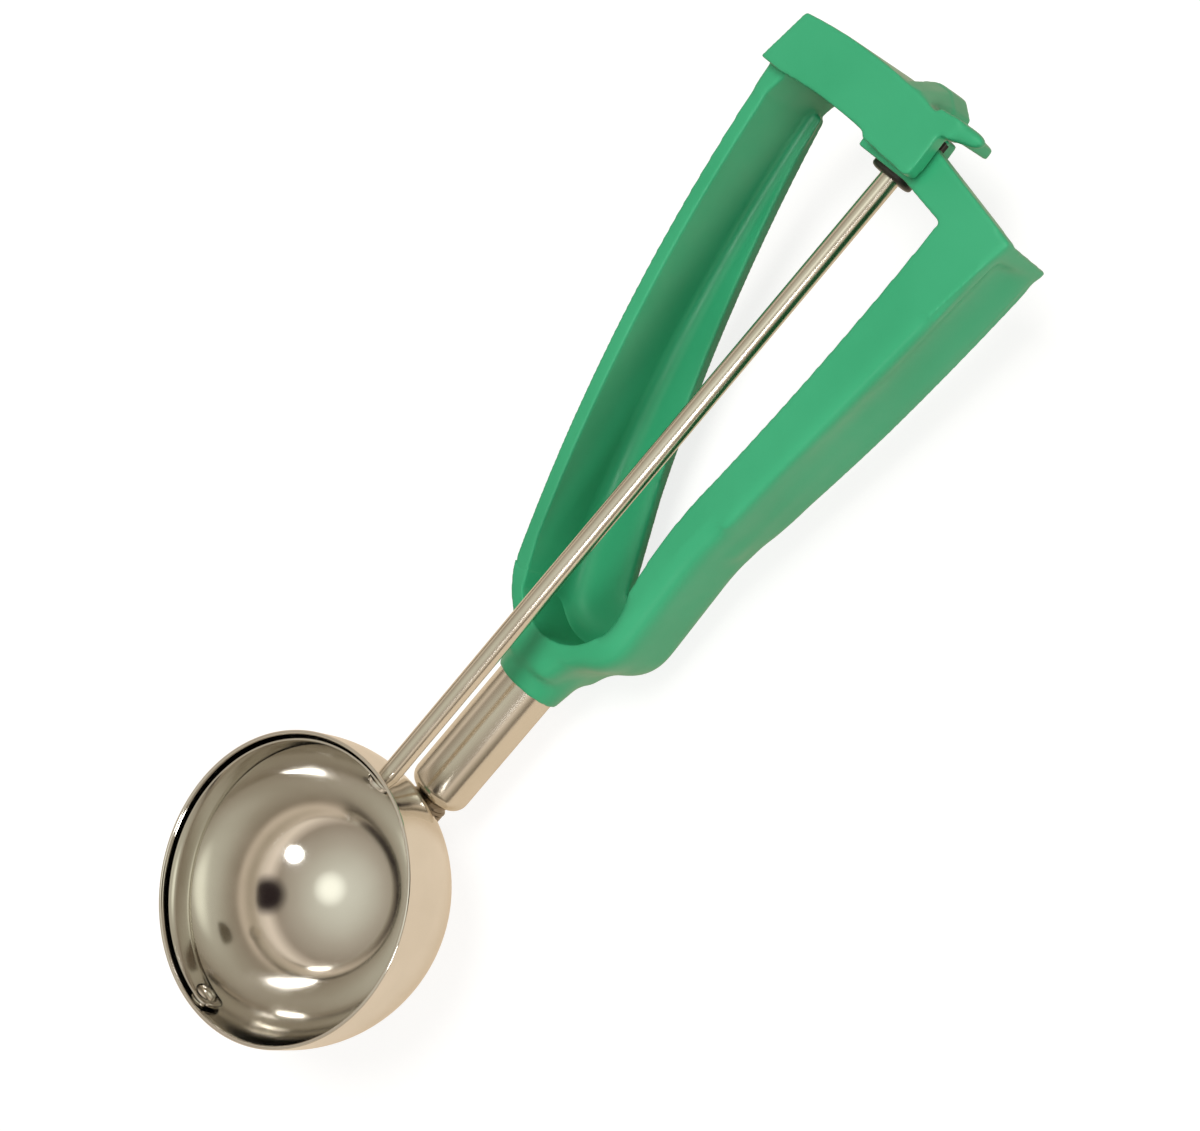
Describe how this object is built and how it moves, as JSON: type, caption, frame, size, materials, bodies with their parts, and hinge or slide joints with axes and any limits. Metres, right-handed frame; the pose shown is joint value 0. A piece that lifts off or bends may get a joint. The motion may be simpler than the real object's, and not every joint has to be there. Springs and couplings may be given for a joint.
{
  "type": "lever ice cream scoop",
  "caption": "Squeeze-handle ice cream scoop: steel half-sphere bowl on a neck tube, green sprung handle and a geared shaft that sweeps a blade through the bowl.",
  "frame": {"origin": "centre of the bowl's mouth, in the plane of its rim", "axes": "+X along the drive shaft from the bowl to the handle's end; +Y towards the squeeze lever; +Z out of the bowl's mouth"},
  "size_m": [0.2454, 0.0677, 0.046],
  "materials": {
    "steel": "mirror-polished stainless steel",
    "dark_steel": "heat-darkened brazed steel",
    "green_plastic": "moulded, satin to gloss",
    "black_plastic": "moulded, satin"
  },
  "bodies": {
    "frame": {"bowl": "steel", "neck_boss": "dark_steel", "neck_tube": "steel", "pivot_rivet": "steel", "pivot_washer": "steel", "handle_frame": "green_plastic", "shaft_bush": "black_plastic"},
    "lever": {"squeeze_lever": "green_plastic"},
    "scraper": {"drive_shaft": "steel", "scraper_blade": "steel", "blade_collar": "steel", "pinion": "black_plastic", "retaining_ring": "steel"}
  },
  "joints": [
    {"name": "lever_squeeze", "type": "hinge", "parent": "frame", "child": "lever", "pos_m": [0.08675, 0.0136, -0.02255], "axis": [0.1305, 0, -0.9914], "range_deg": [0, 6.24], "stiffness_Nm_per_rad": 10},
    {"name": "blade_sweep", "type": "hinge", "parent": "frame", "child": "scraper", "pos_m": [0, 0, -0.005], "axis": [-1, 0, 0], "range_deg": [0, 180]}
  ],
  "couplings": [
    {"joint": "blade_sweep", "follows": "lever_squeeze", "ratio": 28.84}
  ]
}
